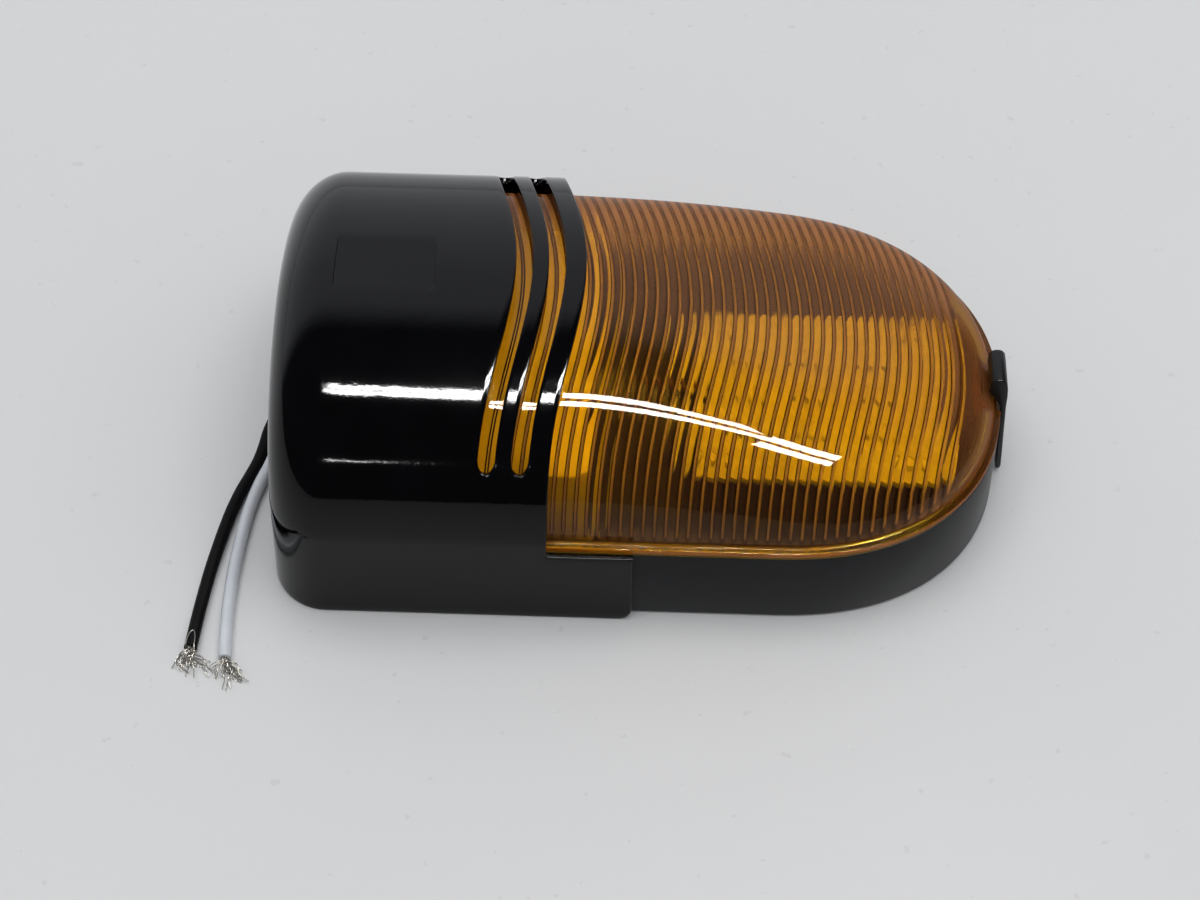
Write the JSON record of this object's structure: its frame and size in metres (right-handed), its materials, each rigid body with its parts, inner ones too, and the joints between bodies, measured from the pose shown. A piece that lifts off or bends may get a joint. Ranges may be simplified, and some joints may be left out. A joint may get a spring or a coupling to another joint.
{
  "type": "flashing warning light",
  "caption": "Flashing amber warning light for a gate or barrier: black tray and hood, ribbed amber lens, clip latch and two short supply wires",
  "frame": {"origin": "On the back plane, under the middle of the lamp's length and width", "axes": "+Z out of the back plate, away from the wall; +X from the cable end to the latch end; +Y across the lamp"},
  "size_m": [0.1874, 0.1295, 0.0601],
  "materials": {
    "hood_plastic": "polished black plastic hood with a satin skirt",
    "base_plastic": "satin black plastic",
    "latch_plastic": "satin black plastic",
    "lens_amber": "clear amber plastic, polished outside, ribbed inside",
    "rubber": "soft black rubber",
    "steel": "zinc plated steel",
    "white_board": "white solder mask",
    "green_board": "green solder mask",
    "white_plastic": "white plastic",
    "led_phosphor": "white package with a yellow window",
    "capacitor_sleeve": "blue sleeve",
    "copper": "enamelled copper winding",
    "chip_plastic": "moulded black package",
    "pvc_black": "black sleeve",
    "pvc_white": "white sleeve",
    "pvc_red": "red sleeve",
    "tinned_strands": "bare tinned copper strands"
  },
  "bodies": {
    "base": {"base_tray": "base_plastic", "board_lead_minus": "pvc_black", "board_lead_plus": "pvc_red", "bridge_rectifier": "chip_plastic", "cable_clamp": "base_plastic", "cable_grommet": "rubber", "capacitor_large": "capacitor_sleeve", "capacitor_small": "capacitor_sleeve", "choke": "copper", "clamp_screw_1": "steel", "clamp_screw_2": "steel", "driver_board": "green_board", "driver_cover": "white_plastic", "driver_screw_1": "steel", "driver_screw_2": "steel", "flasher_chip": "chip_plastic", "latch_pin": "steel", "lead_black": "pvc_black", "lead_white": "pvc_white", "led_1": "led_phosphor", "led_2": "led_phosphor", "led_3": "led_phosphor", "led_4": "led_phosphor", "led_5": "led_phosphor", "led_6": "led_phosphor", "led_7": "led_phosphor", "led_8": "led_phosphor", "led_9": "led_phosphor", "led_board": "white_board", "led_board_screw_1": "steel", "led_board_screw_2": "steel", "led_board_screw_3": "steel", "led_board_screw_4": "steel", "lens": "lens_amber", "lens_gasket": "rubber", "strands_black": "tinned_strands", "strands_white": "tinned_strands", "wire_black": "pvc_black", "wire_white": "pvc_white"},
    "hood": {"hood": "hood_plastic"},
    "latch": {"latch_clip": "latch_plastic"}
  },
  "joints": [
    {"name": "hood_lift", "type": "slide", "parent": "base", "child": "hood", "axis": [0, 0, 1], "range_m": [0, 0.07]},
    {"name": "latch_swing", "type": "hinge", "parent": "base", "child": "latch", "pos_m": [0.0791, 0, 0.006], "axis": [0, 1, 0], "range_deg": [0, 10]}
  ]
}
